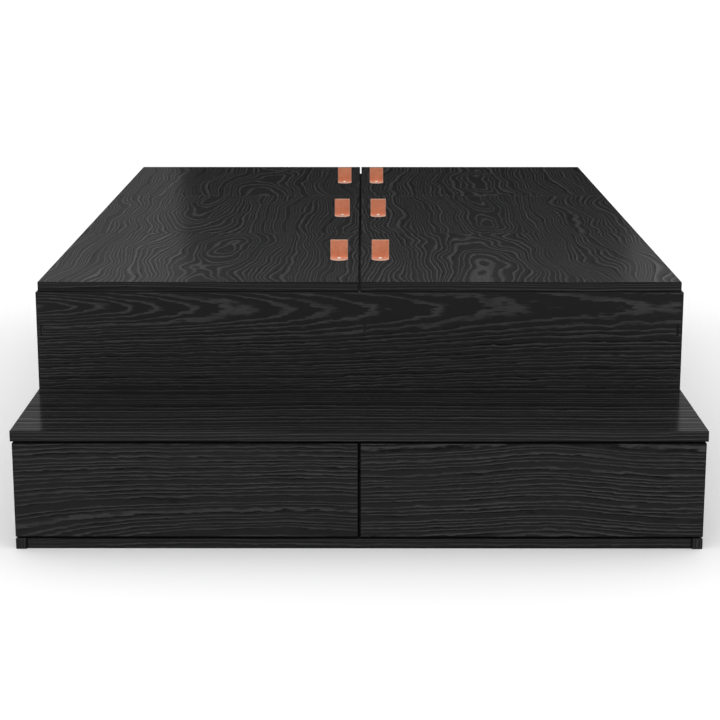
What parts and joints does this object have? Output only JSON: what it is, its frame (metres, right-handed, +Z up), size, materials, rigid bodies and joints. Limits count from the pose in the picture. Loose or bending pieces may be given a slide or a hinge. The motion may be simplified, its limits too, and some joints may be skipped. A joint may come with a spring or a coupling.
{
  "type": "platform bed with storage drawers",
  "caption": "Black oak platform bed with hinged storage lids, leather pull tabs and a step with drawers across its foot end.",
  "frame": {"origin": "on the floor, at the middle of the whole footprint (platform and step together)", "axes": "+X to the right seen from the foot end, +Y towards the head end, +Z up"},
  "size_m": [1.412, 2.382, 0.529],
  "materials": {
    "black_oak": "black-stained open-grain oak veneer, matt",
    "drawer_board": "dark grey matt laminate on board",
    "beech": "raw beech",
    "tan_leather": "vegetable-tanned leather, smooth, with paler cut edges",
    "screw_steel": "polished domed head",
    "black_steel": "black lacquered steel",
    "zinc_steel": "zinc plated"
  },
  "bodies": {
    "root": {"step_top": "black_oak", "step_side_left": "black_oak", "step_side_right": "black_oak", "step_partition": "black_oak", "step_bottom": "black_oak", "step_back": "black_oak", "step_dowels": "beech", "fixed_runners": "zinc_steel", "joining_bolts": "zinc_steel", "riser": "black_oak", "riser_tongues": "black_oak", "platform_side_left": "black_oak", "platform_side_right": "black_oak", "centre_divider_left": "black_oak", "centre_divider_right": "black_oak", "rear_board": "black_oak", "cross_dividers_front": "black_oak", "cross_dividers_rear": "black_oak", "floor_panels": "drawer_board", "floor_battens": "beech", "fixed_hinge_leaves": "black_steel", "hinge_pins": "black_steel"},
    "lid_left_front": {"lid_left_front": "black_oak", "tab_left_front": "tan_leather", "tab_screw_left_front": "screw_steel", "hinge_leaves_left_front": "black_steel"},
    "lid_left_middle": {"lid_left_middle": "black_oak", "tab_left_middle": "tan_leather", "tab_screw_left_middle": "screw_steel", "hinge_leaves_left_middle": "black_steel"},
    "lid_left_rear": {"lid_left_rear": "black_oak", "tab_left_rear": "tan_leather", "tab_screw_left_rear": "screw_steel", "hinge_leaves_left_rear": "black_steel"},
    "lid_right_front": {"lid_right_front": "black_oak", "tab_right_front": "tan_leather", "tab_screw_right_front": "screw_steel", "hinge_leaves_right_front": "black_steel"},
    "lid_right_middle": {"lid_right_middle": "black_oak", "tab_right_middle": "tan_leather", "tab_screw_right_middle": "screw_steel", "hinge_leaves_right_middle": "black_steel"},
    "lid_right_rear": {"lid_right_rear": "black_oak", "tab_right_rear": "tan_leather", "tab_screw_right_rear": "screw_steel", "hinge_leaves_right_rear": "black_steel"},
    "drawer_left": {"drawer_left_front": "black_oak", "drawer_left_outer_side": "drawer_board", "drawer_left_inner_side": "drawer_board", "drawer_left_back": "drawer_board", "drawer_left_bottom": "drawer_board", "drawer_left_runners": "zinc_steel", "drawer_left_dowels": "beech"},
    "drawer_right": {"drawer_right_front": "black_oak", "drawer_right_outer_side": "drawer_board", "drawer_right_inner_side": "drawer_board", "drawer_right_back": "drawer_board", "drawer_right_bottom": "drawer_board", "drawer_right_runners": "zinc_steel", "drawer_right_dowels": "beech"}
  },
  "joints": [
    {"name": "lid_left_front_hinge", "type": "hinge", "parent": "root", "child": "lid_left_front", "pos_m": [-0.7015, -0.4835, 0.462], "axis": [0, -1, 0], "range_deg": [0, 88]},
    {"name": "lid_left_middle_hinge", "type": "hinge", "parent": "root", "child": "lid_left_middle", "pos_m": [-0.7015, 0.185, 0.462], "axis": [0, -1, 0], "range_deg": [0, 88]},
    {"name": "lid_left_rear_hinge", "type": "hinge", "parent": "root", "child": "lid_left_rear", "pos_m": [-0.7015, 0.8535, 0.462], "axis": [0, -1, 0], "range_deg": [0, 88]},
    {"name": "lid_right_front_hinge", "type": "hinge", "parent": "root", "child": "lid_right_front", "pos_m": [0.7015, -0.4835, 0.462], "axis": [0, 1, 0], "range_deg": [0, 88]},
    {"name": "lid_right_middle_hinge", "type": "hinge", "parent": "root", "child": "lid_right_middle", "pos_m": [0.7015, 0.185, 0.462], "axis": [0, 1, 0], "range_deg": [0, 88]},
    {"name": "lid_right_rear_hinge", "type": "hinge", "parent": "root", "child": "lid_right_rear", "pos_m": [0.7015, 0.8535, 0.462], "axis": [0, 1, 0], "range_deg": [0, 88]},
    {"name": "drawer_left_slide", "type": "slide", "parent": "root", "child": "drawer_left", "axis": [0, -1, 0], "range_m": [-0.0025, 0.225]},
    {"name": "drawer_right_slide", "type": "slide", "parent": "root", "child": "drawer_right", "axis": [0, -1, 0], "range_m": [-0.0025, 0.225]}
  ]
}
